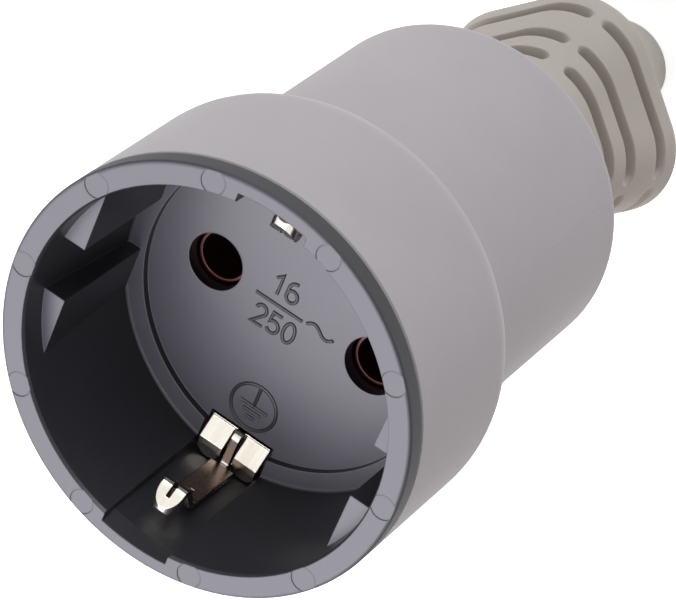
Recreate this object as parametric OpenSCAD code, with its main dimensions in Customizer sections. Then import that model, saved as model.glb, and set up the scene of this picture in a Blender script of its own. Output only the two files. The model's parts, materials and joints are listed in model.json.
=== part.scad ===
/* [Housing] */
// Width of the rim between the plug recess and the outside of the drum
rim_w = 2.55; // [2.55:0.05:4]
// How far the drum's straight side runs on behind the floor of the recess
drum_over = 0.6; // [0.6:0.1:3]
// Diameter of the rear body
body_d = 37; // [37:0.2:39]
// Length of the rounded and tapered tail
tail_len = 9.3; // [8.5:0.1:9.5]
// Radius of the rear body's rounding
body_round = 2; // [1.5:0.1:3]
// Slope of the tail behind that rounding, in degrees
tail_angle = 41; // [36:1:42]
// Distance from the mouth to the housing's end face
housing_len = 61; // [60:0.5:66]
// Wall of the rear body
housing_wall = 1.7; // [1.4:0.1:1.7]
// Thickness of the end wall that the sleeve passes through
end_wall = 2.4; // [2:0.1:3]

/* [Insert] */
// Diameter of the plug recess at the mouth
recess_d = 39.7; // [39:0.1:40]
// How much the recess narrows in diameter towards its floor
recess_draft = 2.1; // [1.6:0.1:2.4]
// Depth of the floor below the mouth
floor_depth = 17.8; // [17.5:0.1:18]
// Height of the ring ledge around the floor
ledge_h = 0.8; // [0.5:0.1:1.2]
// Width of the ledge
ledge_w = 2.1; // [1.8:0.1:2.3]
// Thickness of the floor
floor_t = 1.6; // [1.5:0.1:2]
// Thickness of the rim flange
flange_t = 2.1; // [1.8:0.1:2.4]
// Wall of the recess behind the rim
insert_wall = 1.2; // [1:0.1:1.2]
// Distance between the two pin holes
pin_pitch = 19; // [18.8:0.1:19.2]
// Diameter of the pin holes in the floor
pin_hole_d = 6.1; // [6:0.1:6.4]
// How far the side guides stand in from the recess wall
guide_t = 2.85; // [2.5:0.05:3]
// Width of the groove between the two guides of one side
guide_groove = 6.4; // [5:0.2:7]
// Depth of the guides' front ends below the mouth
guide_front = 3; // [2.5:0.1:6]

/* [Earth clips] */
// Width of the channel that each clip lies in
channel_w = 7.7; // [7.7:0.1:8.4]
// Width of the clip strip
clip_w = 7; // [6.4:0.1:7]
// Thickness of the clip strip
strip_t = 0.7; // [0.5:0.05:0.8]
// Gap between the two fingers of a clip
finger_gap = 1.5; // [1.4:0.1:1.8]
// Width of the long contact tongue
tongue_w = 2.8; // [2.4:0.1:3]
// How far the tongue's contact crest stands in from the recess wall
crest_rise = 4; // [3.6:0.1:4.2]
// Depth of the contact crest below the mouth
crest_depth = 5.6; // [5:0.1:7]

/* [Contacts] */
// Bore of a contact sleeve
contact_bore = 5; // [4.9:0.05:5.1]
// Wall of a contact sleeve
contact_wall = 0.35; // [0.3:0.05:0.4]
// Length of the block that carries the contacts
block_len = 12; // [11:0.5:13]
// Diameter of that block
block_d = 28.8; // [28.4:0.2:29]
// Length of a terminal along the axis
terminal_len = 8; // [7:0.5:9]
// Width and height of a line terminal
terminal_w = 7; // [6.6:0.2:7.2]
// Diameter of a terminal screw
screw_d = 3; // [2.6:0.1:3.2]

/* [Cord clamp] */
// Diameter of the cord that the clamp and the sleeve take
cord_d = 8.4; // [7.6:0.2:9]
// Length of the clamp along the axis
clamp_len = 6; // [5:0.5:6.5]
// Distance between the two clamp screws
clamp_pitch = 16.4; // [15.6:0.2:17]

/* [Bend relief sleeve] */
// Diameter of the sleeve where it leaves the housing
sleeve_d = 17.2; // [16.8:0.2:19]
// Distance across two opposite ribs at the thick end
rib_span = 28.9; // [28:0.1:29.4]
// Distance across two opposite flats at the thick end
flat_span = 25.4; // [24.6:0.1:26]
// Length of the ribbed part behind the housing
ribbed_len = 17.6; // [16.4:0.2:20]
// Length of the nose behind the ribs
nose_len = 15.7; // [12:0.1:18]
// Diameter of the nose at its tip
nose_d = 10.8; // [10.4:0.1:13]
// Width of a slot along the axis
slot_w = 1.4; // [1.2:0.1:1.8]
// Distance of the first slots' floor from the axis
slot_floor_r = 6.9; // [6.7:0.1:7.2]

/* [Hidden] */
$fn = 96;
overrun = 1;
fit_gap = 0.25;
arc_steps = 8;
bend_steps = 5;

// Housing
drum_r = recess_d / 2 + rim_w;
drum_len = floor_depth + drum_over;
body_r = body_d / 2;
body_end = housing_len - tail_len;
shoulder_r = drum_r - body_r;
neck_fillet = 1.6;
edge_round = 0.4;
tail_round = 1;
cavity_r = body_r - housing_wall;
neck_z = drum_len + sqrt(pow(shoulder_r + neck_fillet, 2) - pow(neck_fillet, 2));
neck_angle = atan2(neck_z - drum_len, neck_fillet);
round_r = body_r - body_round;
taper_z = body_end + body_round * sin(tail_angle);
taper_r = round_r + body_round * cos(tail_angle);
tail_z = housing_len - tail_round * (1 - sin(tail_angle));
tail_r = taper_r - tan(tail_angle) * (tail_z - taper_z) - tail_round * cos(tail_angle);
inner_end = housing_len - end_wall;
collar_t = 2.2;
inner_end_r = taper_r - tan(tail_angle) * (inner_end - taper_z) - housing_wall;

// Insert
recess_r = recess_d / 2;
recess_bottom_r = recess_r - recess_draft / 2;
ledge_depth = floor_depth - ledge_h;
floor_r = recess_bottom_r - ledge_w;
insert_r = recess_r + insert_wall;
insert_back_r = insert_r - housing_wall / 2;
insert_len = floor_depth + floor_t;
insert_neck = insert_len - floor_t - ledge_h;
floor_fillet = 0.2;
guide_r = recess_r - guide_t;
guide_len = insert_len - guide_front - floor_t / 2;
channel_skin = 0.6;
channel_r = insert_r - channel_skin;
rim_channel_r = drum_r - 2 * channel_skin;
pin_x = pin_pitch / 2;
rim_marks = 10;
mark_d = 2.6;
mark_depth = 0.08;
mark_r = (drum_r + recess_r) / 2;
post_x = 6.8;
post_y = -8.6;
post_r = 2.4;
post_len = block_len / 2;
pilot_depth = 1;

// Earth clips
rise_inset = 0.8;
rise_r = floor_r - rise_inset;
window_gap = 0.3;
window_r = rise_r - strip_t / 2 - window_gap;
window_h = channel_r - channel_skin - window_r;
crest_r = recess_r - crest_rise;
finger_rise = 1;
finger_lean = 0.2;
crest_from = 2.1;
crest_to = 2.6;
end_gap = 0.1;
bridge_z = insert_len + end_gap + strip_t / 2;
finger_crest_z = floor_depth - finger_rise;
finger_end_r = channel_r - window_gap;
centre_w = finger_gap - 2 * window_gap;
tongue_flare = 2.4;
tongue_lip = 2.2;
tongue_end = 0.8;
tongue_back_r = channel_r - strip_t / 2 - window_gap;
tongue_root_z = crest_depth + tongue_w;
tongue_tip_r = crest_r + tongue_flare;
tongue_tip_z = crest_depth - tongue_lip;
tongue_ease = 1.4 * strip_t;
slit_w = 0.45;
tab_w = 5;
tab_y = 9;
tab_len = 18;

// Contacts and terminals
contact_r = contact_bore / 2;
contact_out_r = contact_r + contact_wall;
contact_start = insert_len + end_gap;
contact_gap = 0.5;
block_r = block_d / 2;
block_end = insert_len + block_len;
contact_len = block_end - contact_start;
fork_front = 3.2;
fork_w = 3.4;
spring_t = 0.4;
spring_gap = 0.1;
spring_len = 3;
spring_z = insert_len + block_len * 0.6;
spring_out_r = contact_out_r + spring_gap + spring_t;
wire_r = 1.4;
wire_stop = 1.5;
screw_r = screw_d / 2;
thread_gap = 0.1;
small_r = screw_r - fit_gap;
pilot_r = small_r + thread_gap;
head_step = 0.5;
head_r = screw_r + head_step;
head_h = 1.4;
driver_slot_w = 0.6;
driver_slot_h = 0.6;
screw_grip = 2;
screw_proud = 1.7;
screw_z = block_end + terminal_len / 2;
earth_w = 6;
earth_h = 4.8;
earth_gap = 1;
earth_z = block_end + earth_gap;
earth_len = terminal_len - earth_gap;

// Cord clamp
cord_r = cord_d / 2;
clamp_z = (block_end + terminal_len + inner_end - collar_t - clamp_len) / 2;
foot_t = 2.2;
foot_x = 5.4;
foot_out_x = 11.6;
foot_y = 5.4;
foot_out_y = 10.6;
leg_t = 1.8;
foot_screw_x = 7.5;
foot_screw_y = 8;
cradle_y = 1.2;
cradle_h = 7.2;
saddle_h = 5.2;
clamp_screw_reach = 3;

// Bend relief sleeve
sleeve_r = sleeve_d / 2;
neck_step = 0.6;
neck_r = sleeve_r - neck_step;
collar_step = 2.9;
collar_r = neck_r + collar_step;
rib_end = housing_len + ribbed_len;
sleeve_end = rib_end + nose_len;
slice_t = 0.1;
rib_round = 0.9;
corner_share = 1 - sqrt(0.5);
corner_at = (rib_span - flat_span) / 2 / corner_share;
corner_r = rib_span / 2 - corner_at;
nose_step = 3.3;
nose_root_r = flat_span / 2 - nose_step;
nose_round = 0.3;
nose_c = nose_d / 2 - nose_round;
slot_row_shares = [0.37, 0.553, 0.815];
slot_first_len = 13.2;
slot_growth = 2.3;
slot_floor_step = 1.1;

// Points [radius, depth] on an arc, with angle 0 outwards and 90 towards the cord
function arc(z, r, radius, from, to) =
    [for (i = [0:arc_steps]) let (a = from + (to - from) * i / arc_steps)
        [r + radius * cos(a), z + radius * sin(a)]];

function side(p, q) = let (d = (q - p) / norm(q - p)) [-d[1], d[0]];

// Direction in which corner i of a path moves when the path is set off sideways
function mitre(p, i) =
    i == 0 ? side(p[0], p[1])
    : i == len(p) - 1 ? side(p[i - 1], p[i])
    : let (a = side(p[i - 1], p[i]), b = side(p[i], p[i + 1])) (a + b) / (1 + a * b);

// A bent strip's side view: a path with thickness t
function ribbon(p, t) = concat(
    [for (i = [0:len(p) - 1]) p[i] + mitre(p, i) * t / 2],
    [for (i = [len(p) - 1:-1:0]) p[i] - mitre(p, i) * t / 2]);

// A path whose corners are eased over the length c on both sides
function eased(p, c) = concat([p[0]],
    [for (i = [1:len(p) - 2], k = [0:bend_steps])
        let (a = p[i] + c * (p[i - 1] - p[i]) / norm(p[i - 1] - p[i]),
             b = p[i] + c * (p[i + 1] - p[i]) / norm(p[i + 1] - p[i]),
             s = k / bend_steps)
        a * pow(1 - s, 2) + p[i] * 2 * s * (1 - s) + b * pow(s, 2)],
    [p[len(p) - 1]]);

// Stands the connector on the tip of its nose, with the mouth up
module stand() {
    translate([0, 0, sleeve_end]) rotate([0, 180, 0]) children();
}

// A strip of width w whose side view is a path in depth and distance below the axis
module strip(path, w) {
    rotate([90, 0, 90]) linear_extrude(w, center = true) polygon(ribbon(path, strip_t));
}

// A slotted screw along +Z, with its head's seat at z = 0 and its shank below
module slotted_screw(r, reach) {
    translate([0, 0, -reach]) cylinder(r = r, h = reach + head_h / 2);
    difference() {
        cylinder(r = r + head_r - screw_r, h = head_h);
        translate([-head_r - overrun, -driver_slot_w / 2, head_h - driver_slot_h])
            cube([2 * (head_r + overrun), driver_slot_w, driver_slot_h + overrun]);
    }
}

module housing() {
    outer = concat(
        [[drum_r - edge_round, flange_t], [drum_r, flange_t + edge_round]],
        arc(drum_len, body_r, shoulder_r, 0, neck_angle),
        arc(neck_z, body_r + neck_fillet, neck_fillet, 180 + neck_angle, 180),
        arc(body_end, round_r, body_round, 0, tail_angle),
        arc(housing_len - tail_round, tail_r, tail_round, tail_angle, 90));
    inner = [
        [neck_r + fit_gap, housing_len], [neck_r + fit_gap, inner_end],
        [inner_end_r, inner_end], [cavity_r, taper_z], [cavity_r, insert_len],
        [insert_back_r + fit_gap, insert_len],
        [insert_back_r + fit_gap, insert_neck + insert_r - insert_back_r],
        [insert_r + fit_gap, insert_neck], [insert_r + fit_gap, flange_t],
    ];
    color([0.70, 0.68, 0.69]) stand() rotate_extrude() polygon(concat(outer, inner));
}

// The rounded square of the sleeve's thick end, with its corners on the ribs
module rib_slice(z, inset) {
    translate([0, 0, z]) for (a = [0:90:270])
        rotate([0, 0, a]) translate([corner_at, 0, 0])
            cylinder(r = corner_r - inset, h = slice_t, $fn = 32);
}

// A round-ended slot in one flat, between two ribs, with its floor at the radius r
module sleeve_slot(z, len, r) {
    translate([r, 0, z]) rotate([90, 0, 90]) linear_extrude(rib_span / 2) {
        square([len - slot_w, slot_w], center = true);
        for (s = [-1, 1]) translate([s * (len - slot_w) / 2, 0]) circle(d = slot_w, $fn = 24);
    }
}

module bend_relief_sleeve() {
    root = housing_len;
    nose = concat(
        [[0, rib_end - rib_round], [nose_root_r, rib_end - rib_round], [nose_root_r, rib_end]],
        arc(sleeve_end - nose_round, nose_c, nose_round, 0, 90),
        [[0, sleeve_end]]);
    color([0.69, 0.67, 0.65]) stand() difference() {
        union() {
            translate([0, 0, inner_end - collar_t]) cylinder(r = collar_r, h = collar_t);
            translate([0, 0, inner_end - overrun]) cylinder(r = neck_r, h = end_wall + 2 * overrun);
            hull() {
                translate([0, 0, root]) cylinder(r = sleeve_r, h = slice_t, $fn = 64);
                rib_slice(rib_end - rib_round, 0);
            }
            hull() {
                rib_slice(rib_end - rib_round, 0);
                rib_slice(rib_end - slice_t, rib_round);
            }
            rotate_extrude() polygon(nose);
        }
        translate([0, 0, inner_end - collar_t - overrun])
            cylinder(r = cord_r, h = sleeve_end + collar_t - inner_end + 2 * overrun);
        for (a = [45:90:315], i = [0:len(slot_row_shares) - 1]) rotate([0, 0, a]) sleeve_slot(
            root + slot_row_shares[i] * ribbed_len,
            slot_first_len + i * slot_growth,
            slot_floor_r + i * slot_floor_step);
    }
}

module socket_insert() {
    cup = concat(
        arc(edge_round, drum_r - edge_round, edge_round, -90, 0),
        [[drum_r, flange_t], [insert_r, flange_t], [insert_r, insert_neck],
         [insert_back_r, insert_neck + insert_r - insert_back_r], [insert_back_r, insert_len],
         [0, insert_len], [0, floor_depth], [floor_r, floor_depth], [floor_r, ledge_depth],
         [recess_bottom_r - floor_fillet, ledge_depth], [recess_bottom_r, ledge_depth - floor_fillet],
         [recess_r, edge_round], [recess_r + edge_round / 2, 0]]);
    color([0.36, 0.36, 0.39]) stand() {
        difference() {
            rotate_extrude() polygon(cup);
            for (s = [-1, 1]) translate([s * pin_x, 0, floor_depth - overrun])
                cylinder(d = pin_hole_d, h = floor_t + 2 * overrun);
            for (a = [0, 180]) rotate([0, 0, a]) {
                intersection() {
                    translate([-channel_w / 2, floor_r - overrun, -overrun])
                        cube([channel_w, drum_r, floor_depth + overrun]);
                    translate([0, 0, -overrun]) cylinder(r = channel_r, h = insert_len);
                }
                intersection() {
                    translate([-channel_w / 2, floor_r, -overrun])
                        cube([channel_w, drum_r, flange_t + overrun]);
                    translate([0, 0, -overrun])
                        cylinder(r1 = rim_channel_r, r2 = channel_r, h = flange_t + overrun);
                }
                translate([-clip_w / 2 - window_gap, window_r, floor_depth - overrun])
                    cube([clip_w + 2 * window_gap, window_h, floor_t + 2 * overrun]);
            }
            for (i = [0:rim_marks - 1]) rotate([0, 0, 360 * i / rim_marks])
                translate([mark_r, 0, -overrun])
                    cylinder(d = mark_d, h = overrun + mark_depth, $fn = 32);
        }
        intersection() {
            translate([0, 0, guide_front]) cylinder(r = recess_r, h = guide_len);
            for (s = [0, 1], t = [0, 1]) mirror([s, 0, 0]) mirror([0, t, 0])
                translate([guide_r, guide_groove / 2, 0])
                    cube([guide_t + insert_wall, recess_r, insert_len]);
        }
        for (s = [-1, 1]) translate([s * post_x, post_y, insert_len - floor_t / 2]) difference() {
            cylinder(r = post_r, h = post_len + floor_t / 2);
            translate([0, 0, floor_t / 2 + pilot_depth]) cylinder(r = pilot_r, h = post_len);
        }
    }
}

module contact_block() {
    color([0.62, 0.07, 0.09]) stand() difference() {
        translate([0, 0, insert_len]) cylinder(r = block_r, h = block_len);
        translate([-clip_w / 2 - fit_gap, -drum_r, insert_len - overrun])
            cube([clip_w + 2 * fit_gap, 2 * drum_r, overrun + strip_t + fit_gap]);
        translate([-tab_w / 2 - fit_gap, tab_y - strip_t / 2 - fit_gap, insert_len])
            cube([tab_w + 2 * fit_gap, strip_t + 2 * fit_gap, block_len + overrun]);
        for (s = [-1, 1]) {
            translate([s * pin_x, 0, insert_len - overrun])
                cylinder(r = contact_out_r + contact_gap, h = block_len + 2 * overrun);
            translate([s * pin_x, 0, spring_z - fit_gap])
                cylinder(r = spring_out_r + fit_gap, h = block_len);
            translate([s * post_x, post_y, insert_len - overrun])
                cylinder(r = post_r + fit_gap, h = overrun + post_len + fit_gap);
            translate([s * post_x, post_y, insert_len])
                cylinder(r = screw_r, h = block_len + overrun);
            translate([s * foot_screw_x, foot_screw_y, insert_len + block_len / 3])
                cylinder(r = pilot_r, h = block_len);
        }
    }
}

// A slit contact sleeve with its pillar terminal, on the side s
module line_contact(s) {
    color([0.80, 0.76, 0.66]) stand() translate([s * pin_x, 0, 0]) difference() {
        union() {
            translate([0, 0, contact_start]) cylinder(r = contact_out_r, h = contact_len + overrun);
            translate([-terminal_w / 2, -terminal_w / 2, block_end])
                cube([terminal_w, terminal_w, terminal_len]);
        }
        translate([0, 0, contact_start - overrun]) cylinder(r = contact_r, h = contact_len + overrun);
        translate([-contact_out_r - overrun, -fork_w / 2, contact_start + fork_front])
            cube([2 * (contact_out_r + overrun), fork_w, contact_len - fork_front - wire_stop]);
        translate([0, 0, block_end + wire_stop]) cylinder(r = wire_r, h = terminal_len);
        translate([0, 0, screw_z]) rotate([90, 0, 0])
            cylinder(r = screw_r + thread_gap, h = terminal_w);
    }
}

// The steel ring that keeps the two halves of a contact together
module contact_spring(s) {
    color([0.62, 0.63, 0.65]) stand() translate([s * pin_x, 0, spring_z]) difference() {
        cylinder(r = spring_out_r, h = spring_len);
        translate([0, 0, -overrun])
            cylinder(r = contact_out_r + spring_gap, h = spring_len + 2 * overrun);
        translate([0, -spring_t, -overrun])
            cube([spring_out_r + overrun, 2 * spring_t, spring_len + 2 * overrun]);
    }
}

module terminal_screw(s) {
    reach = terminal_w / 2 + screw_proud - wire_r + screw_grip / 2;
    color([0.72, 0.72, 0.70]) stand() translate([s * pin_x, -terminal_w / 2 - screw_proud, screw_z])
        rotate([90, 0, 0]) slotted_screw(screw_r, reach);
}

// One half of the earth bracket: the fingers at the floor and the long contact tongue
module earth_clip() {
    root = [[0, bridge_z], [rise_r, bridge_z], [rise_r, floor_depth]];
    finger = [[rise_r, floor_depth + strip_t], [rise_r + finger_lean, floor_depth + finger_lean],
        [rise_r + crest_from, finger_crest_z], [rise_r + crest_to, finger_crest_z],
        [finger_end_r + strip_t, floor_depth - finger_lean]];
    centre_z = floor_depth - strip_t;
    centre = [[0, bridge_z], [rise_r, bridge_z], [rise_r, centre_z], [tongue_back_r, centre_z],
        [tongue_back_r, tongue_root_z + tongue_w]];
    tongue = [[tongue_back_r, floor_depth - 2 * strip_t], [tongue_back_r, tongue_root_z],
        [crest_r, crest_depth], [tongue_tip_r, tongue_tip_z]];
    plan_y = window_r - overrun;
    finger_w = (clip_w - finger_gap) / 2;
    strip(eased(root, strip_t), clip_w);
    strip(eased(centre, strip_t), centre_w);
    intersection() {
        strip(finger, clip_w);
        for (s = [-1, 1]) translate([s * (clip_w - finger_w) / 2, 0, 0]) {
            translate([-finger_w / 2, plan_y, 0])
                cube([finger_w, finger_end_r - finger_w / 2 - plan_y, insert_len]);
            translate([0, finger_end_r - finger_w / 2, 0]) cylinder(d = finger_w, h = insert_len);
        }
    }
    difference() {
        intersection() {
            strip(eased(tongue, tongue_ease), tongue_w);
            translate([0, 0, tongue_tip_z + tongue_w / 2]) rotate([-90, 0, 0]) {
                cylinder(d = tongue_w, h = drum_r);
                translate([-tongue_w / 2, -insert_len, 0]) cube([tongue_w, insert_len, drum_r]);
            }
        }
        translate([-slit_w / 2, 0, tongue_tip_z + tongue_end])
            cube([slit_w, drum_r, tongue_root_z - tongue_tip_z + tongue_w / 2]);
    }
}

module earth_bracket() {
    color([0.82, 0.78, 0.70]) stand() difference() {
        union() {
            for (a = [0, 180]) rotate([0, 0, a]) earth_clip();
            translate([-tab_w / 2, tab_y - strip_t / 2, insert_len]) cube([tab_w, strip_t, tab_len]);
        }
        translate([0, tab_y - overrun, earth_z + earth_len / 2]) rotate([-90, 0, 0])
            cylinder(r = screw_r + fit_gap, h = 2 * overrun);
    }
}

module earth_terminal() {
    top = tab_y - strip_t / 2 - earth_h;
    color([0.80, 0.72, 0.45]) stand() difference() {
        translate([-earth_w / 2, top, earth_z]) cube([earth_w, earth_h, earth_len]);
        translate([0, top + earth_h / 2, earth_z + wire_stop]) cylinder(r = wire_r, h = earth_len);
        translate([0, top + earth_h / 2, earth_z + earth_len / 2]) rotate([-90, 0, 0])
            cylinder(r = screw_r + thread_gap, h = earth_h);
    }
}

module earth_screw() {
    color([0.72, 0.72, 0.70]) stand() translate([0, tab_y + strip_t / 2, earth_z + earth_len / 2])
        rotate([-90, 0, 0]) slotted_screw(screw_r, strip_t + screw_grip / 2);
}

module block_screw(s) {
    reach = block_len - post_len + screw_grip;
    color([0.66, 0.67, 0.68]) stand() translate([s * post_x, post_y, block_end])
        slotted_screw(small_r, reach);
}

module cord_clamp_carrier() {
    color([0.30, 0.30, 0.32]) stand() difference() {
        union() {
            for (s = [0, 1]) mirror([s, 0, 0]) {
                translate([foot_x, foot_y, block_end])
                    cube([foot_out_x - foot_x, foot_out_y - foot_y, foot_t]);
                translate([foot_out_x - leg_t, foot_y, block_end])
                    cube([leg_t, foot_out_y - foot_y, clamp_z + clamp_len - block_end]);
            }
            translate([-foot_out_x, cradle_y, clamp_z]) cube([2 * foot_out_x, cradle_h, clamp_len]);
        }
        translate([0, 0, clamp_z - overrun]) cylinder(r = cord_r, h = clamp_len + 2 * overrun);
        for (s = [-1, 1]) {
            translate([s * foot_screw_x, foot_screw_y, block_end - overrun])
                cylinder(r = screw_r, h = foot_t + 2 * overrun);
            translate([s * clamp_pitch / 2, cradle_y - overrun, clamp_z + clamp_len / 2])
                rotate([-90, 0, 0]) cylinder(r = pilot_r, h = overrun + clamp_screw_reach + fit_gap);
        }
    }
}

module carrier_screw(s) {
    color([0.66, 0.67, 0.68]) stand() translate([s * foot_screw_x, foot_screw_y, block_end + foot_t])
        slotted_screw(small_r, foot_t + block_len / 2);
}

module cord_clamp_saddle() {
    color([0.30, 0.30, 0.32]) stand() difference() {
        translate([-foot_out_x, -cradle_y - saddle_h, clamp_z])
            cube([2 * foot_out_x, saddle_h, clamp_len]);
        translate([0, 0, clamp_z - overrun]) cylinder(r = cord_r, h = clamp_len + 2 * overrun);
        for (s = [-1, 1])
            translate([s * clamp_pitch / 2, -cradle_y + overrun, clamp_z + clamp_len / 2])
                rotate([90, 0, 0]) cylinder(r = screw_r, h = saddle_h + 2 * overrun);
    }
}

module clamp_screw(s) {
    color([0.66, 0.67, 0.68]) stand()
        translate([s * clamp_pitch / 2, -cradle_y - saddle_h, clamp_z + clamp_len / 2])
            rotate([90, 0, 0])
                slotted_screw(small_r, saddle_h + 2 * cradle_y + clamp_screw_reach);
}

housing();
bend_relief_sleeve();
socket_insert();
contact_block();
line_contact(1);  // line_contact_left
line_contact(-1);  // line_contact_right
contact_spring(1);  // contact_spring_left
contact_spring(-1);  // contact_spring_right
terminal_screw(1);  // terminal_screw_left
terminal_screw(-1);  // terminal_screw_right
earth_bracket();
earth_terminal();
earth_screw();
block_screw(1);  // block_screw_left
block_screw(-1);  // block_screw_right
cord_clamp_carrier();
carrier_screw(1);  // carrier_screw_left
carrier_screw(-1);  // carrier_screw_right
cord_clamp_saddle();
clamp_screw(1);  // clamp_screw_left
clamp_screw(-1);  // clamp_screw_right
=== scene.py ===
# %% [markdown]
# # An inline earthed socket
# The object is the socket half of a cord coupling: a grey drum and body, a dark insert with a
# round plug recess, two sprung earth clips and a slotted bend-relief sleeve. The solids come
# from CAD as a fixed frame. Blender adds the finish: the soft skin of the sleeve, a parting
# line on the body, the marks moulded on the recess floor, the plastics and metals, the light
# and the camera.

import json
import math

import bpy
import numpy as np
from mathutils import Matrix, Vector


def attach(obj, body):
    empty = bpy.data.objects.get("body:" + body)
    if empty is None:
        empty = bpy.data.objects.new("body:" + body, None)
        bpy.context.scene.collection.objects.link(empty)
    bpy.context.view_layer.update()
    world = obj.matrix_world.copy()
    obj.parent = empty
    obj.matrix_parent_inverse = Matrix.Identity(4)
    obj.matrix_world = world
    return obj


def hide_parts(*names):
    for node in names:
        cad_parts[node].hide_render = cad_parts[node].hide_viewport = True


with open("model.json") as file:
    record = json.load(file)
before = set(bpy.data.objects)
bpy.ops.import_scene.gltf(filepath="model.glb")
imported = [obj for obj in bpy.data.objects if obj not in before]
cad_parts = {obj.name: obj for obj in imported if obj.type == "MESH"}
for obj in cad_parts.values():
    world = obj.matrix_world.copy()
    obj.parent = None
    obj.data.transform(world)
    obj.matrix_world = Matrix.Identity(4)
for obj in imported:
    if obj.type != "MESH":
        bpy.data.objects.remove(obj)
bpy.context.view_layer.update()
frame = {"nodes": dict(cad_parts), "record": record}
nodes = frame["nodes"]

# %% [markdown]
# ## The axis of the connector
# The connector is round and would roll, so it stands on the tip of its nose with the mouth
# up. All the shapes are easier to write along its axis: z is the depth from the mouth towards
# the cord, in millimetres, and x and y go across, as they lie in the view into the recess. One
# function turns such points into the frame's metres.

# %% From the connector's own axes to the frame
MM = 0.001
LENGTH = 94.3


def stand(points):
    """Points (x, y, z) on the connector's axes, in mm, to the frame in metres.

    Depth runs down from the mouth, which is LENGTH above the table, and x turns to -X.
    """
    p = np.asarray(points, float)
    return np.stack([-p[..., 0], p[..., 1], LENGTH - p[..., 2]], -1) * MM


print("the mouth is", LENGTH, "mm above the table")

# %% [markdown]
# ## Surfaces from grids
# Each new skin is a grid of points: rows along one parameter, columns round the other. The
# columns always close on themselves. Where the rows close too, as on the sleeve, the skin has
# no open edge at all.

# %% A mesh from a grid of points
def new_piece(name, points, faces):
    """An object with that mesh, linked to the scene, whose place is in its mesh."""
    mesh = bpy.data.meshes.new(name)
    mesh.from_pydata(points.reshape(-1, 3).tolist(), [], faces)
    mesh.update()
    piece = bpy.data.objects.new(name, mesh)
    bpy.context.scene.collection.objects.link(piece)
    return piece


def grid_mesh(name, points, close_rows=False):
    """Joins each point of a rows by columns grid to its neighbours with four-sided faces."""
    rows, columns = points.shape[:2]
    row_count = rows if close_rows else rows - 1
    i, j = np.meshgrid(np.arange(row_count), np.arange(columns), indexing="ij")
    ni, nj = (i + 1) % rows, (j + 1) % columns
    quads = np.stack(
        [i * columns + j, i * columns + nj, ni * columns + nj, ni * columns + j], -1
    )
    piece = new_piece(name, points, quads.reshape(-1, 4).tolist())
    piece.data.shade_smooth()
    return piece


def smoothstep(low, high, value):
    """0 below low, 1 above high, and an even S curve between them."""
    t = np.clip((value - low) / (high - low), 0, 1)
    return t * t * (3 - 2 * t)


# %% [markdown]
# ## The bend-relief sleeve
# The sleeve is soft rubber: round where it leaves the body, square with four rounded ribs at
# its thick end, and cut by rows of slots so that it bends. It could be a box cut with
# booleans, but moulded rubber has no sharp edge anywhere. So it is one skin: a radius for
# each angle and depth, pushed in where a slot is, with soft slot edges.

# %% The sleeve's sizes
CORD_R = 4.2
COLLAR_FROM, COLLAR_TO = 56.4, 58.6
COLLAR_R = 10.9
NECK_R = 8.0
ROOT_Z = 61.0
RIB_END = 78.6
SLEEVE_R = 8.6
RIB_AT = 5.975
RIB_R = 8.475
RIB_ROUND = 0.9
NOSE_ROOT_R = 9.4
NOSE_TIP_R = 5.4
NOSE_ROUND = 0.5
print("sleeve from", COLLAR_FROM, "to", LENGTH, "mm deep, ribs to", RIB_END)

# %% A square of four ribs
QUARTER = math.pi / 2
HALF_QUARTER = math.pi / 4


def rib_radius(angle, rib_at, rib_r):
    """Polar radius of a square of four circles: radius rib_r, centres rib_at from the axis.

    Near a rib it is the circle's own radius, and between two ribs the flat that touches both.
    """
    a = np.mod(angle + HALF_QUARTER, QUARTER) - HALF_QUARTER
    on_arc = rib_at * np.cos(a) + np.sqrt(
        np.maximum(rib_r**2 - (rib_at * np.sin(a)) ** 2, 0)
    )
    flat = rib_at * math.sqrt(0.5) + rib_r
    on_flat = flat / np.cos(HALF_QUARTER - np.abs(a))
    touch = np.arctan2(rib_r * math.sqrt(0.5), rib_at + rib_r * math.sqrt(0.5))
    return np.where(np.abs(a) < touch, on_arc, on_flat)


# %% Ribs, slots and soft edges
SLOT_WIDTH = 0.95
SLOT_SOFT = 0.14
SLOT_FAR_SOFT = 0.26
SLOT_TURN = 0.3
# Depth of the middle, length, and radius of the floor of each row of slots.
SLOT_ROWS = ((67.512, 13.2, 6.9), (70.733, 15.5, 8.0), (75.344, 17.8, 9.1))
# Just under 1, so that the rounded end keeps a little slope where it meets the end face.
FULL_ROUND = 0.999


def sleeve_skin(angle, depth):
    """Outer radius: the circle at the root blends into the ribbed square at the thick end.

    Three rows of slots sink to a flat floor. Their edge towards the mouth is crisp, and the
    far wall rolls out into the next ring.
    """
    share = np.clip((depth - ROOT_Z) / (RIB_END - RIB_ROUND - ROOT_Z), 0, 1)
    end = np.clip((depth - RIB_END + RIB_ROUND) / RIB_ROUND, 0, 1)
    rib_r = SLEEVE_R * (1 - share) + RIB_R * share
    rib_r = rib_r - RIB_ROUND * (1 - np.sqrt(1 - end**2 * FULL_ROUND))
    radius = rib_radius(angle, RIB_AT * share, rib_r)
    flank = np.mod(angle, QUARTER) - HALF_QUARTER
    across = radius * np.sin(flank)
    for centre, length, floor_r in SLOT_ROWS:
        floor = np.minimum(floor_r / np.cos(flank), radius)
        reach = np.maximum(np.abs(across) - (length - SLOT_WIDTH) / 2, 0)
        outside = np.hypot(reach, depth - centre) - SLOT_WIDTH / 2
        far = smoothstep(-SLOT_TURN, SLOT_TURN, depth - centre)
        soft = smoothstep(-SLOT_SOFT, SLOT_SOFT + SLOT_FAR_SOFT * far, outside)
        radius = radius - (radius - floor) * (1 - soft)
    return radius


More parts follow.
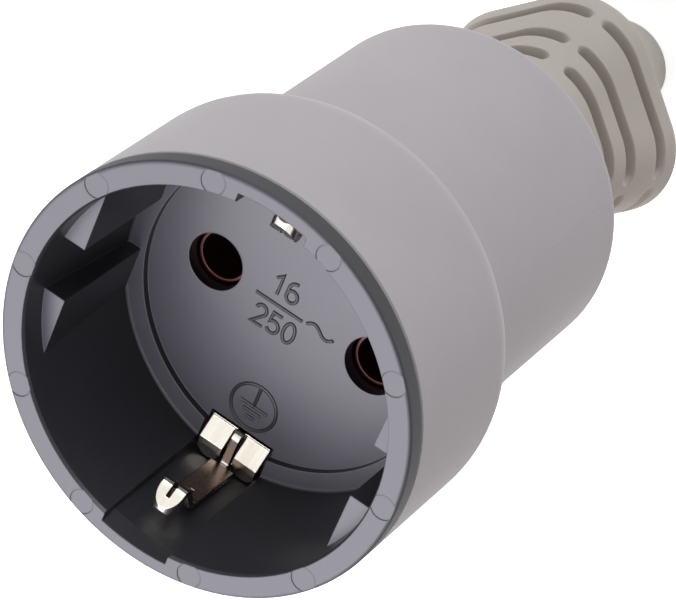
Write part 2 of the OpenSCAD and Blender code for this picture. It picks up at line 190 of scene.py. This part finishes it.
# %% The rows of the skin, from the collar to the nose
SKIN_COLUMNS = 360
PLAIN_ROWS, NEAR_ROWS, FAR_ROWS, ROUND_ROWS = 70, 12, 14, 9
NEAR_BAND, FAR_BAND = 0.2, 0.45
END_FACE_SHARES = (0.4, 0.8)
NOSE_ROWS, TIP_ROWS = 12, 6


def sleeve_depths():
    """Depths of the outer rows, packed closely on both edges of every slot."""
    edges = [np.linspace(ROOT_Z, RIB_END, PLAIN_ROWS)]
    near = np.linspace(-NEAR_BAND, NEAR_BAND, NEAR_ROWS)
    far = np.linspace(-NEAR_BAND, FAR_BAND, FAR_ROWS)
    for centre, _, _ in SLOT_ROWS:
        edges.append(centre - SLOT_WIDTH / 2 + near)
        edges.append(centre + SLOT_WIDTH / 2 + far)
    edges.append(RIB_END - RIB_ROUND * (1 - np.sin(np.linspace(0, QUARTER, ROUND_ROWS))))
    return np.unique(np.round(np.clip(np.concatenate(edges), ROOT_Z, RIB_END), 4))


def collar_rows():
    """Radius and depth of the rows that the body hides: a collar and a narrower neck."""
    return [(CORD_R, COLLAR_FROM), (COLLAR_R, COLLAR_FROM), (COLLAR_R, COLLAR_TO),
            (NECK_R, COLLAR_TO), (NECK_R, ROOT_Z)]


def nose_rows():
    """Radius and depth of the nose's rows: a straight taper, then a quarter circle inwards."""
    rows = []
    for k in np.linspace(0, 1, NOSE_ROWS):
        rows.append((NOSE_ROOT_R * (1 - k) + NOSE_TIP_R * k,
                     RIB_END + (LENGTH - NOSE_ROUND - RIB_END) * k))
    for t in np.linspace(0, QUARTER, TIP_ROWS)[1:]:
        rows.append((NOSE_TIP_R - NOSE_ROUND * (1 - math.cos(t)),
                     LENGTH - NOSE_ROUND * (1 - math.sin(t))))
    rows.append((CORD_R, LENGTH))
    return rows


# %% Build the sleeve
angle = np.linspace(0, 2 * math.pi, SKIN_COLUMNS, endpoint=False)
depths = sleeve_depths()
outer = sleeve_skin(angle[None, :], depths[:, None])
end_face = [(outer[-1] * (1 - k) + NOSE_ROOT_R * k, RIB_END) for k in END_FACE_SHARES]
rows = collar_rows() + list(zip(outer, depths)) + end_face + nose_rows()
skin = np.stack([
    np.stack([r * np.sin(angle), -r * np.cos(angle), np.full_like(angle, z)], -1)
    for r, z in rows
])
sleeve = grid_mesh("sleeve_skin", stand(skin), close_rows=True)
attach(sleeve, "root")
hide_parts("bend_relief_sleeve")
print("sleeve skin:", len(sleeve.data.polygons), "faces")

# %% [markdown]
# ## The parting line
# A moulded body keeps a hair line where the halves of its mould met. It could be painted by
# the shader, but a real one catches the light, so it is a very low ridge laid along the body.
# Both its ends shrink to a ring too small to see.

# %% A hair line on both sides of the body
BODY_R = 18.5
PARTING_ANGLES = (-32.5, 147.5)
PARTING_FROM, PARTING_TO = 31.0, 49.5
PARTING_WIDTH, PARTING_HEIGHT, PARTING_SINK = 0.2, 0.04, 0.03
PARTING_ROWS, PARTING_COLUMNS = 40, 12
PARTING_END = 0.02


def parting_ridge(degrees):
    """A bar with an egg-shaped section, laid along the body and thinned away at both ends.

    The section turns through a whole circle: its upper half rises by the height, its lower
    half sinks into the body, and both shrink with the root of a sine along the way.
    """
    along = np.linspace(0, 1, PARTING_ROWS)[:, None]
    turn = np.linspace(0, 2 * math.pi, PARTING_COLUMNS, endpoint=False)[None, :]
    size = np.maximum(np.sqrt(np.sin(math.pi * along)), PARTING_END)
    lift = np.where(np.cos(turn) > 0, PARTING_HEIGHT, PARTING_SINK) * np.cos(turn) * size
    place = math.radians(degrees) + np.sin(turn) * size * PARTING_WIDTH / 2 / BODY_R
    depth = PARTING_FROM + (PARTING_TO - PARTING_FROM) * along + 0 * turn
    radius = BODY_R + lift
    return np.stack([radius * np.cos(place), radius * np.sin(place), depth], -1)


parting_lines = []
for name, degrees in zip(("parting_line_near", "parting_line_far"), PARTING_ANGLES):
    line = grid_mesh(name, stand(parting_ridge(degrees)))
    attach(line, "root")
    parting_lines.append(line)
print("parting lines:", len(parting_lines))

# %% [markdown]
# ## The marks on the recess floor
# The floor carries its rating and the earth sign, moulded as fine raised lines. They could be
# text objects, but a mould cutter draws such figures as single strokes. So each mark is a set
# of paths, and a rounded ridge is carried along each.

# %% The strokes of the figures
FIGURE_HEIGHT = 2.3
FIGURE_PITCH = 1.75
FIGURE_MIDDLE = 0.31


def bow(cx, cy, rx, ry, start, stop, count):
    """Points on an ellipse's arc, angles in degrees, 0 to the right and 90 upwards."""
    a = np.radians(np.linspace(start, stop, count))
    return np.stack([cx + rx * np.cos(a), cy + ry * np.sin(a)], 1)


# Each figure lies in a box 0.62 wide and 1 high: its points, and whether the stroke closes.
FIGURES = {
    "0": [(bow(0.31, 0.5, 0.27, 0.5, 0, 345, 24), True)],
    "1": [([[0.14, 0.74], [0.40, 1.0], [0.40, 0.0]], False)],
    "2": [([*bow(0.31, 0.72, 0.26, 0.28, 170, -35, 14), [0.04, 0.0], [0.6, 0.0]], False)],
    "5": [([[0.55, 1.0], [0.12, 1.0], [0.07, 0.5],
            *bow(0.29, 0.31, 0.28, 0.31, 110, -150, 16)], False)],
    "6": [([*bow(0.36, 0.62, 0.32, 0.38, 80, 180, 10), [0.04, 0.3]], False),
          (bow(0.31, 0.3, 0.27, 0.3, 0, 345, 24), True)],
}


def write(text, x, y):
    """Strokes of a row of figures whose middle is at (x, y), with y downwards."""
    strokes = []
    left = x - (len(text) - 1) * FIGURE_PITCH / 2 - FIGURE_MIDDLE * FIGURE_HEIGHT
    for k, letter in enumerate(text):
        for points, closed in FIGURES[letter]:
            p = np.array(points)
            px = left + k * FIGURE_PITCH + p[:, 0] * FIGURE_HEIGHT
            py = y + FIGURE_HEIGHT / 2 - p[:, 1] * FIGURE_HEIGHT
            strokes.append((np.stack([px, py], 1), closed))
    return strokes


# %% The signs for alternating current and for earth
WAVE_POINTS = 17
RING_POINTS = 48
BAR_SHARES = (0.62, 0.4, 0.2)
BAR_TOP, BAR_STEP = -0.02, 0.26


def wave(x0, x1, y, swing):
    """One period of a sine between x0 and x1: the sign for alternating current."""
    t = np.linspace(0, 1, WAVE_POINTS)
    return np.stack([x0 + (x1 - x0) * t, y - swing * np.sin(2 * math.pi * t)], 1)


def earth_sign(x, y, r):
    """The protective earth sign: a stem, three shrinking bars, and a ring round them."""
    a = np.linspace(0, 2 * math.pi, RING_POINTS, endpoint=False)
    strokes = [(np.stack([x + r * np.cos(a), y + r * np.sin(a)], 1), True)]
    strokes.append((np.array([[x, y - r], [x, y + BAR_TOP * r]]), False))
    for k, half in enumerate(BAR_SHARES):
        bar_y = y + (BAR_TOP + BAR_STEP * k) * r
        strokes.append((np.array([[x - half * r, bar_y], [x + half * r, bar_y]]), False))
    return strokes


# %% Where each mark lies on the floor
AMPERES_AT = (-1.7, -2.0)
VOLTS_AT = (-1.4, 2.3)
DASH = ((-4.45, 0.2), (1.15, 0.2))
WAVE_FROM, WAVE_TO, WAVE_Y, WAVE_SWING = 1.65, 4.85, 0.1, 0.45
EARTH_AT, EARTH_R = (0.1, 12.25), 2.6

MARKS = write("16", *AMPERES_AT) + write("250", *VOLTS_AT)
MARKS.append((np.array(DASH), False))
MARKS.append((wave(WAVE_FROM, WAVE_TO, WAVE_Y, WAVE_SWING), False))
MARKS += earth_sign(*EARTH_AT, EARTH_R)
print("strokes:", len(MARKS))

# %% A rounded ridge along a stroke
FLOOR_DEPTH = 17.8
STROKE_WIDTH, STROKE_HEIGHT = 0.4, 0.15
STROKE_COLUMNS = 7
SHARPEST_CORNER = 0.5


def left_of(along):
    """Each direction turned by a quarter to its left."""
    return np.stack([-along[:, 1], along[:, 0]], 1)


def unit(along):
    """Each direction at length 1."""
    return along / np.linalg.norm(along, axis=1, keepdims=True)


def ridge(path, closed):
    """Half an ellipse, as wide and high as a stroke, carried along a flat path.

    At a corner it turns halfway between both stretches and is widened by one over the cosine
    of half the turn, up to a limit, so that its sides stay parallel to the path.
    """
    p = np.asarray(path, float)
    ahead = np.roll(p, -1, 0) - p
    behind = p - np.roll(p, 1, 0)
    if not closed:
        ahead[-1], behind[0] = behind[-1], ahead[0]
    ahead, behind = unit(ahead), unit(behind)
    side = left_of(unit(ahead + behind))
    cosine = np.sum(side * left_of(ahead), 1)
    side /= np.maximum(cosine, SHARPEST_CORNER)[:, None]
    turn = np.linspace(0, math.pi, STROKE_COLUMNS)
    reach = (np.cos(turn) * STROKE_WIDTH / 2)[None, :, None]
    flat = p[:, None, :] + side[:, None, :] * reach
    rise = np.broadcast_to(FLOOR_DEPTH - np.sin(turn) * STROKE_HEIGHT, flat.shape[:2])
    return np.concatenate([flat, rise[..., None]], -1)


# %% Mould the marks on the floor
def ridge_faces(n, m, closed):
    """Faces of a ridge of n sections with m points: its skin, its flat base and its ends."""
    base = np.arange(n if closed else n - 1)
    after = (base + 1) % n
    i, j = np.meshgrid(base, np.arange(m - 1), indexing="ij")
    k = (i + 1) % n
    skin = np.stack([i * m + j, k * m + j, k * m + j + 1, i * m + j + 1], -1)
    under = np.stack([base * m + m - 1, after * m + m - 1, after * m, base * m], -1)
    faces = skin.reshape(-1, 4).tolist() + under.tolist()
    if not closed:
        end = np.arange(m)
        faces += [end.tolist(), ((n - 1) * m + end[::-1]).tolist()]
    return faces


verts, faces, start = [], [], 0
for points, closed in MARKS:
    band = ridge(points, closed)
    n, m = band.shape[:2]
    faces += [[start + v for v in face] for face in ridge_faces(n, m, closed)]
    verts.append(band.reshape(-1, 3))
    start += n * m
marks = new_piece("floor_marks", stand(np.concatenate(verts)), faces)
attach(marks, "root")
print("floor marks:", len(marks.data.polygons), "faces")

# %% [markdown]
# ## Finishes
# Colours are written as they would be picked from a screen, and turned into the linear
# values that the shader wants. What several finishes share is a group, built once: a fine
# grain for plastics and metals, and edges that handling has polished a little lighter.

# %% Colour and node helpers
def screen(r, g, b):
    """A screen colour, 0 to 255, as the linear colour with alpha that shaders take.

    The sRGB curve: a straight line in the darkest tones, and a power of 2.4 above them.
    """
    c = np.array([r, g, b], float) / 255
    low = c / 12.92
    high = ((c + 0.055) / 1.055) ** 2.4
    return (*np.where(c <= 0.04045, low, high).tolist(), 1.0)


def group_with(name, values, outputs):
    """An empty group that reads a Vector and named numbers, with its input and output nodes."""
    tree = bpy.data.node_groups.new(name, "ShaderNodeTree")
    new_socket = tree.interface.new_socket
    new_socket(name="Vector", in_out="INPUT", socket_type="NodeSocketVector")
    for label, value in values.items():
        socket = new_socket(name=label, in_out="INPUT", socket_type="NodeSocketFloat")
        socket.default_value = value
    for label in outputs:
        new_socket(name=label, in_out="OUTPUT", socket_type="NodeSocketFloat")
    return tree, tree.nodes.new("NodeGroupInput"), tree.nodes.new("NodeGroupOutput")


def math_node(tree, operation, a, b, clamp=False):
    """A Math node whose inputs are numbers or sockets; returns its output socket."""
    node = tree.nodes.new("ShaderNodeMath")
    node.operation = operation
    node.use_clamp = clamp
    for slot, value in zip(node.inputs, (a, b)):
        if isinstance(value, (int, float)):
            slot.default_value = value
        else:
            tree.links.new(value, slot)
    return node.outputs[0]


def vector_node(tree, operation, a):
    """A Vector Math node with one input linked; returns the node."""
    node = tree.nodes.new("ShaderNodeVectorMath")
    node.operation = operation
    tree.links.new(a, node.inputs[0])
    return node


# %% The moulded grain group
CLOUD_DETAIL, GRAIN_DETAIL = 3.0, 2.0
GRAIN_ROUGHNESS = 0.55
PLASTIC_CLOUD, PLASTIC_GRAIN = 60.0, 2500.0


def make_grain():
    """Two noises: a broad one clouds the colour, and a fine one gives the surface its grain."""
    tree, inside, outside = group_with(
        "moulded_grain", {"Cloud Scale": PLASTIC_CLOUD, "Grain Scale": PLASTIC_GRAIN},
        ("Cloud", "Grain"),
    )
    for label, detail in (("Cloud", CLOUD_DETAIL), ("Grain", GRAIN_DETAIL)):
        noise = tree.nodes.new("ShaderNodeTexNoise")
        noise.inputs["Detail"].default_value = detail
        noise.inputs["Roughness"].default_value = GRAIN_ROUGHNESS
        tree.links.new(inside.outputs["Vector"], noise.inputs["Vector"])
        tree.links.new(inside.outputs[label + " Scale"], noise.inputs["Scale"])
        tree.links.new(noise.outputs["Fac"], outside.inputs[label])
    return tree


# %% The edge wear group
EDGE_RADIUS = 0.0005
EDGE_SAMPLES = 6
EDGE_GAIN = 3.0
WEAR_SCALE, WEAR_DETAIL = 400.0, 2.0


def make_edge_wear():
    """Where a rounded-over normal leaves the real one, the surface is an edge.

    The mask is one minus their dot product, scaled up, and broken by a noise.
    """
    tree, inside, outside = group_with(
        "edge_wear", {"Radius": EDGE_RADIUS, "Amount": 1.0}, ("Mask",))
    bevel = tree.nodes.new("ShaderNodeBevel")
    bevel.samples = EDGE_SAMPLES
    tree.links.new(inside.outputs["Radius"], bevel.inputs["Radius"])
    geometry = tree.nodes.new("ShaderNodeNewGeometry")
    dot = vector_node(tree, "DOT_PRODUCT", bevel.outputs["Normal"])
    tree.links.new(geometry.outputs["Normal"], dot.inputs[1])
    noise = tree.nodes.new("ShaderNodeTexNoise")
    noise.inputs["Scale"].default_value = WEAR_SCALE
    noise.inputs["Detail"].default_value = WEAR_DETAIL
    tree.links.new(inside.outputs["Vector"], noise.inputs["Vector"])
    edge = math_node(tree, "SUBTRACT", 1.0, dot.outputs["Value"])
    edge = math_node(tree, "MULTIPLY", edge, EDGE_GAIN, clamp=True)
    broken = math_node(tree, "MULTIPLY", edge, noise.outputs["Fac"])
    mask = math_node(tree, "MULTIPLY", broken, inside.outputs["Amount"], clamp=True)
    tree.links.new(mask, outside.inputs["Mask"])
    return tree


# %% [markdown]
# ## Faces across the axis
# The insert's faces that look out of the mouth are painted lighter than its walls, as a painted
# sheen from the lamps above, and its outer wall is painted darker as painted shade. The earth
# strip's faces that look down are painted dark brown, as painted shade and a painted dark
# reflection. Each could be two materials, but a CAD piece keeps its faces as they are. So a
# third group tells the faces apart by where their normal points.

# %% The mask of faces across the axis
FACE_LOW, FACE_HIGH = 0.5, 0.95
WALL_RADIUS = 0.021


# Mask places the sheen painted on the insert's faces that look up the axis, and Side places the
# shade painted on its outer wall.
def make_face_mask():
    """Mask is 1 on faces that look up the connector's axis, and 0 on walls that run along it.

    It is an even S curve of the normal's upward part. Side is 1 on the walls that lie further
    than Radius from the axis.
    """
    tree, inside, outside = group_with(
        "face_mask", {"Low": FACE_LOW, "High": FACE_HIGH, "Radius": WALL_RADIUS},
        ("Mask", "Side"),
    )
    geometry = tree.nodes.new("ShaderNodeNewGeometry")
    apart = tree.nodes.new("ShaderNodeSeparateXYZ")
    tree.links.new(geometry.outputs["Normal"], apart.inputs["Vector"])
    curve = tree.nodes.new("ShaderNodeMapRange")
    curve.interpolation_type = "SMOOTHSTEP"
    tree.links.new(apart.outputs["Z"], curve.inputs["Value"])
    tree.links.new(inside.outputs["Low"], curve.inputs["From Min"])
    tree.links.new(inside.outputs["High"], curve.inputs["From Max"])
    tree.links.new(curve.outputs["Result"], outside.inputs["Mask"])
    across = vector_node(tree, "MULTIPLY", inside.outputs["Vector"])
    across.inputs[1].default_value = (1.0, 1.0, 0.0)
    from_axis = vector_node(tree, "LENGTH", across.outputs["Vector"]).outputs["Value"]
    beyond = math_node(tree, "GREATER_THAN", from_axis, inside.outputs["Radius"])
    wall = math_node(tree, "SUBTRACT", 1.0, curve.outputs["Result"])
    tree.links.new(math_node(tree, "MULTIPLY", wall, beyond), outside.inputs["Side"])
    return tree


GRAIN = make_grain()
EDGE_WEAR = make_edge_wear()
FACE_MASK = make_face_mask()
print("groups:", [group.name for group in (GRAIN, EDGE_WEAR, FACE_MASK)])

# %% [markdown]
# ## Two kinds of finish
# Every piece here is either moulded or metal. The two kinds share most of their steps: clouds
# in the colour, roughness that follows the same clouds or grain, and a grain pressed into the
# normal. So these steps are helpers, and each kind is one function with its own values.

# %% Steps that both kinds share
ROUND_SAMPLES = 8
FINE_ROUND = 0.0002


def new_material(name):
    """A material with its node tree and its shader."""
    material = bpy.data.materials.new(name)
    material.use_nodes = True
    tree = material.node_tree
    return material, tree, tree.nodes["Principled BSDF"]


def add_group(tree, group, place, values):
    """The group in this material, read at those coordinates, with its own values."""
    node = tree.nodes.new("ShaderNodeGroup")
    node.node_tree = group
    tree.links.new(place, node.inputs["Vector"])
    for label, value in values.items():
        node.inputs[label].default_value = value
    return node


def cloud_ramp(tree, cloud, dark, light, low=0.3, high=0.7):
    """Two screen colours blended by a cloud value; returns the colour socket."""
    ramp = tree.nodes.new("ShaderNodeValToRGB")
    for stop, place, colour in zip(ramp.color_ramp.elements, (low, high), (dark, light)):
        stop.position = place
        stop.color = screen(*colour)
    tree.links.new(cloud, ramp.inputs["Fac"])
    return ramp.outputs["Color"]


def blend(tree, factor, a, b):
    """A colour mix from a to b, where b may be a plain colour; returns the colour socket."""
    mix = tree.nodes.new("ShaderNodeMix")
    mix.data_type = "RGBA"
    tree.links.new(factor, mix.inputs["Factor"])
    tree.links.new(a, mix.inputs["A"])
    if isinstance(b, tuple):
        mix.inputs["B"].default_value = b
    else:
        tree.links.new(b, mix.inputs["B"])
    return mix.outputs["Result"]


def varied(tree, noise, middle, swing):
    """A value that goes from middle - swing to middle + swing as the noise goes from 0 to 1."""
    spread = math_node(tree, "MULTIPLY", noise, 2 * swing)
    return math_node(tree, "ADD", spread, middle - swing)


def shifted(tree, value, mask, amount):
    """The value, plus the amount where the mask is 1."""
    return math_node(tree, "ADD", value, math_node(tree, "MULTIPLY", mask, amount))


def press_grain(tree, shader, grain, depth, round_edges):
    """The grain as a bump of that depth, over normals that are rounded at the edges."""
    bump = tree.nodes.new("ShaderNodeBump")
    bump.inputs["Strength"].default_value = 1.0
    bump.inputs["Distance"].default_value = depth
    tree.links.new(grain, bump.inputs["Height"])
    if round_edges:
        bevel = tree.nodes.new("ShaderNodeBevel")
        bevel.samples = ROUND_SAMPLES
        bevel.inputs["Radius"].default_value = round_edges
        tree.links.new(bevel.outputs["Normal"], bump.inputs["Normal"])
    tree.links.new(bump.outputs["Normal"], shader.inputs["Normal"])


# %% A moulded finish
PLASTIC_SWING = 0.08


def moulded(name, dark, light, wear_and_shade, rough, grain=PLASTIC_GRAIN, depth=0.00002, wear=0.6,
            ior=1.5, round_edges=0.0, faced=None):
    """A plastic or rubber: clouded colour, paler edges, and a fine grain as bump.

    faced paints light and shade on two kinds of faces: a (dark, light, rough), painted lighter
    as sheen, to those that look up the axis, and a (colour, rough), painted darker as shade, to
    the outer wall.
    """
    material, tree, shader = new_material(name)
    place = tree.nodes.new("ShaderNodeTexCoord").outputs["Object"]
    texture = add_group(tree, GRAIN, place, {"Cloud Scale": PLASTIC_CLOUD, "Grain Scale": grain})
    edges = add_group(tree, EDGE_WEAR, place, {"Radius": EDGE_RADIUS, "Amount": wear})
    cloud = texture.outputs["Cloud"]
    colour = cloud_ramp(tree, cloud, dark, light)
    total = varied(tree, cloud, rough, PLASTIC_SWING)
    if faced:
        (lit_face_dark, lit_face_light, face_rough), (side_shade_colour, side_rough) = faced
        faces = add_group(tree, FACE_MASK, place, {})
        up, side = faces.outputs["Mask"], faces.outputs["Side"]
        # Painted sheen: the faces that look up the axis are painted lighter.
        colour = blend(tree, up, colour, cloud_ramp(tree, cloud, lit_face_dark, lit_face_light))
        total = shifted(tree, total, up, face_rough - rough)
    colour = blend(tree, edges.outputs["Mask"], colour, screen(*wear_and_shade))
    if faced:
        # Painted shade: the outer wall is painted darker.
        colour = blend(tree, side, colour, screen(*side_shade_colour))
        total = shifted(tree, total, side, side_rough - rough)
    tree.links.new(colour, shader.inputs["Base Color"])
    tree.links.new(total, shader.inputs["Roughness"])
    press_grain(tree, shader, texture.outputs["Grain"], depth, round_edges)
    shader.inputs["IOR"].default_value = ior
    return material


# %% A metal finish
METAL_CLOUD, METAL_GRAIN = 120.0, 1800.0
METAL_DEPTH = 0.000004
METAL_SWING = 0.06
UNDER_LOW, UNDER_HIGH = -0.1, 0.3


def metal(name, dark, light, rough, stretch=(1.0, 1.0, 1.0), wear_and_shade=None):
    """A plated or plain metal: clouded tint, drawn grain, rolled edges.

    The last argument gives a (colour, rough) to the faces that look down: they are painted
    darker as painted shade and a painted dark reflection.
    """
    material, tree, shader = new_material(name)
    place = tree.nodes.new("ShaderNodeTexCoord").outputs["Object"]
    drawn = tree.nodes.new("ShaderNodeMapping")
    drawn.inputs["Scale"].default_value = stretch
    tree.links.new(place, drawn.inputs["Vector"])
    texture = add_group(tree, GRAIN, drawn.outputs["Vector"],
                        {"Cloud Scale": METAL_CLOUD, "Grain Scale": METAL_GRAIN})
    tint = cloud_ramp(tree, texture.outputs["Cloud"], dark, light, low=0.35, high=0.65)
    total = varied(tree, texture.outputs["Grain"], rough, METAL_SWING)
    if wear_and_shade:
        shade_colour, shade_rough = wear_and_shade
        faces = add_group(tree, FACE_MASK, place, {"Low": UNDER_LOW, "High": UNDER_HIGH})
        under = math_node(tree, "SUBTRACT", 1.0, faces.outputs["Mask"])
        # Painted shade: the faces that look down are painted in the dark colour.
        tint = blend(tree, under, tint, screen(*shade_colour))
        total = shifted(tree, total, under, shade_rough - rough)
    tree.links.new(tint, shader.inputs["Base Color"])
    tree.links.new(total, shader.inputs["Roughness"])
    press_grain(tree, shader, texture.outputs["Grain"], METAL_DEPTH, FINE_ROUND)
    shader.inputs["Metallic"].default_value = 1.0
    return material


# %% [markdown]
# ## One finish for each piece
# The drum and body are a pale grey plastic with a soft lustre, the sleeve a warmer matt
# rubber, and the insert a smooth dark grey. The clips are bright nickel. The inner pieces get
# the plastic, brass or steel that such pieces have. The record names a slot for each node, so
# the finishes are kept by slot.

# %% The finishes
INSERT_TONES = ((48, 46, 51), (56, 54, 60), (104, 101, 110))
# Painted sheen: the insert's faces that look up the axis are painted in these lighter tones.
INSERT_LIT_FACE = ((98, 95, 107), (106, 103, 115), 0.42)
# Painted shade: the insert's outer wall is painted in this darker colour.
INSERT_SHADED_SIDE = ((38, 36, 41), 0.66)

soft_grey = moulded("soft_grey_plastic", (174, 164, 167), (182, 172, 175), (198, 191, 193),
                    0.58, depth=0.000012, wear=0.3)
warm_rubber = moulded("warm_grey_rubber", (191, 178, 170), (201, 188, 180), (209, 198, 191),
                      0.62, grain=1800.0, depth=0.00003, wear=0.3)
dark_insert = moulded("dark_insert_plastic", *INSERT_TONES, 0.36, depth=0.000008, wear=0.25,
                      ior=1.55, round_edges=FINE_ROUND, faced=(INSERT_LIT_FACE, INSERT_SHADED_SIDE))
dark_mark = moulded("dark_mark_plastic", *INSERT_TONES, 0.36, depth=0.000008, wear=0.2)
red_block = moulded("red_moulding", (140, 16, 22), (160, 24, 30), (180, 50, 50), 0.4)
dark_clamp = moulded("dark_clamp_plastic", (62, 62, 66), (72, 72, 76), (96, 96, 100), 0.45)
# The strip's faces that look down are painted dark brown: painted shade and a painted dark
# reflection.
nickel_strip = metal("nickel_plated_strip", (236, 227, 215), (249, 243, 233), 0.23,
                     stretch=(6.0, 1.0, 1.0), wear_and_shade=((88, 62, 49), 0.28))
dulled_copper = metal("dulled_copper", (88, 58, 58), (106, 72, 71), 0.4)
bare_brass = metal("bare_brass", (196, 164, 92), (214, 184, 112), 0.26)
zinc_steel = metal("zinc_plated_steel", (168, 170, 174), (188, 190, 192), 0.32)
plated_screw = metal("plated_screw_steel", (178, 178, 174), (198, 198, 192), 0.3)

# %% Give every piece its finish
FINISHES = {"housing": soft_grey, "sleeve": warm_rubber, "insert": dark_insert,
            "block": red_block, "contact": dulled_copper, "steel": zinc_steel,
            "screw": plated_screw, "earth_strip": nickel_strip, "brass": bare_brass,
            "carrier": dark_clamp}
for part in frame["record"]["subparts"]:
    node = nodes[part["node"]]
    node.data.materials.clear()
    node.data.materials.append(FINISHES[part["material_slot"]])
sleeve.data.materials.append(warm_rubber)
marks.data.materials.append(dark_mark)
for line in parting_lines:
    line.data.materials.append(soft_grey)
print("finishes:", sorted(m.name for m in bpy.data.materials if m.users))

# %% [markdown]
# ## The table and the background
# A product photo has white all round it. More light on the object would give that too, but it
# would wash out the object's own colours. So the table and the world are white to the camera
# and to mirror rays, and far dimmer to the rays that light the object.

# %% The table and the world
WHITE = (1, 1, 1, 1)
TABLE_SIZE = 6.0
TABLE_COLOUR = (0.9, 0.9, 0.9, 1)
TABLE_ROUGH = 0.9
TABLE_GLOW = 0.7
DIFFUSE_SKY = 0.14


def white_to_eye(tree):
    """1 for the camera and for mirror and glass rays, and 0 for the rays that light."""
    rays = tree.nodes.new("ShaderNodeLightPath").outputs
    seen = math_node(tree, "MAXIMUM", rays["Is Camera Ray"], rays["Is Glossy Ray"])
    return math_node(tree, "MAXIMUM", seen, rays["Is Transmission Ray"])


def table_material():
    """A pale matt table, a little brighter to the eye, that keeps the object's shadow."""
    material, tree, shader = new_material("white_table")
    shader.inputs["Base Color"].default_value = TABLE_COLOUR
    shader.inputs["Roughness"].default_value = TABLE_ROUGH
    shader.inputs["Specular IOR Level"].default_value = 0.0
    shader.inputs["Emission Color"].default_value = WHITE
    glow = math_node(tree, "MULTIPLY", white_to_eye(tree), TABLE_GLOW)
    tree.links.new(glow, shader.inputs["Emission Strength"])
    return material


corners = np.array([[-1, -1, 0], [1, -1, 0], [1, 1, 0], [-1, 1, 0]], float) * TABLE_SIZE
table = new_piece("table", corners, [(0, 1, 2, 3)])
table.data.materials.append(table_material())

world = bpy.data.worlds.new("studio")
bpy.context.scene.world = world
world.use_nodes = True
sky = world.node_tree.nodes["Background"]
sky.inputs["Color"].default_value = WHITE
lift = math_node(world.node_tree, "MULTIPLY", white_to_eye(world.node_tree), 1 - DIFFUSE_SKY)
strength = math_node(world.node_tree, "ADD", lift, DIFFUSE_SKY)
world.node_tree.links.new(strength, sky.inputs["Strength"])
print("table:", 2 * TABLE_SIZE, "m wide")

# %% [markdown]
# ## Lights
# Three soft lamps light it, since small hard ones would leave sharp spots on the plastic. A
# broad one above and beyond it makes the rim and the recess floor shine, one straight above
# fills the recess, and a low one beside the camera lights the drum and the body.

# %% Three softboxes
LIT_POINT = Vector((0.0, 0.0, 0.07))
LAMP_DISTANCE = 0.8


def softbox(name, toward, size, power, tint=(1, 1, 1)):
    """A square area light along a direction from the lit point, facing back at it."""
    data = bpy.data.lights.new(name, "AREA")
    data.shape = "SQUARE"
    data.size = size
    data.energy = power
    data.color = tint
    lamp = bpy.data.objects.new(name, data)
    bpy.context.scene.collection.objects.link(lamp)
    lamp.location = LIT_POINT + Vector(toward).normalized() * LAMP_DISTANCE
    lamp.rotation_euler = (-Vector(toward)).to_track_quat("-Z", "Y").to_euler()


softbox("overhead_softbox", (0.16, 0.50, 0.79), 0.62, 5.0)
softbox("top_softbox", (-0.05, -0.05, 1.0), 0.4, 1.7)
softbox("low_softbox", (0.1, -1.0, 0.12), 0.5, 3.8, tint=(0.85, 0.96, 1.0))
print("lamps:", len(bpy.data.lights))

# %% [markdown]
# ## Camera
# The photo looks down into the mouth, and its frame is turned about the line of sight, so the
# upright connector seems to lie in it. The place, the two angles, the roll and the focal
# length were fitted to known points: the rim, the floor's edge and the pin holes.

# %% The camera
AZIMUTH = -23.27
ELEVATION = 52.54
ROLL = -127.54
FOCAL_PX = 3800.11
WIDTH_PX = 676
SENSOR_WIDTH = 36.0
CLIP_NEAR, CLIP_FAR = 0.01, 20.0
CAMERA_AT = (-0.092125, -0.210187, (LENGTH + 274.672) * MM)


def aim_camera():
    """Looks along azimuth and elevation, then turns about the line of sight by the roll."""
    a, e, r = (math.radians(v) for v in (AZIMUTH, ELEVATION, ROLL))
    ahead = np.array([-math.sin(a) * math.cos(e), math.cos(a) * math.cos(e), -math.sin(e)])
    level = np.array([math.cos(a), math.sin(a), 0.0])
    above = np.cross(level, ahead)
    right = level * math.cos(r) + above * math.sin(r)
    up = above * math.cos(r) - level * math.sin(r)
    return Matrix(np.stack([right, up, -ahead], 1).tolist())


camera_data = bpy.data.cameras.new("camera")
camera_data.sensor_width = SENSOR_WIDTH
camera_data.sensor_fit = "HORIZONTAL"
camera_data.lens = FOCAL_PX / WIDTH_PX * SENSOR_WIDTH
camera_data.clip_start = CLIP_NEAR
camera_data.clip_end = CLIP_FAR
camera = bpy.data.objects.new("camera", camera_data)
bpy.context.scene.collection.objects.link(camera)
camera.matrix_world = Matrix.Translation(CAMERA_AT) @ aim_camera().to_4x4()
bpy.context.scene.camera = camera
bpy.context.scene.view_settings.view_transform = "Standard"
print("lens:", round(camera_data.lens, 1), "mm")
